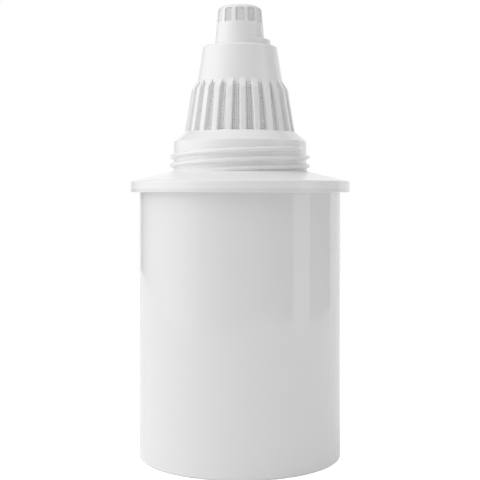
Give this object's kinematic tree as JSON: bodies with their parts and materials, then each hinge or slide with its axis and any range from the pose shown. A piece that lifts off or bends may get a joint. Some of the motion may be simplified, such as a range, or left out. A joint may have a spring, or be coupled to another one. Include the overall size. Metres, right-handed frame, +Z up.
{
  "type": "water pitcher filter cartridge",
  "caption": "Cylindrical screw-in water filter cartridge with a flanged cup, threaded neck, ribbed inlet cage over a screen, cone and vented nose.",
  "frame": {"origin": "centre of the cup's foot ring, on the surface that the cartridge stands on", "axes": "+Z up along the cartridge's axis towards its nose; -Y is the front that the picture shows"},
  "size_m": [0.074, 0.074, 0.1513],
  "materials": {
    "cup": "glossy white moulded polypropylene",
    "cover": "satin white moulded polypropylene",
    "screen": "fine white nylon weave in a moulded frame",
    "felt": "white needled fibre",
    "media": "packed carbon and resin granules"
  },
  "bodies": {
    "root": {"cup": "cup", "cover": "cover", "inlet_screen": "screen", "vent_screen": "screen", "top_felt": "felt", "media_bed": "media", "outlet_felt": "felt", "outlet_mesh": "screen"}
  },
  "joints": []
}
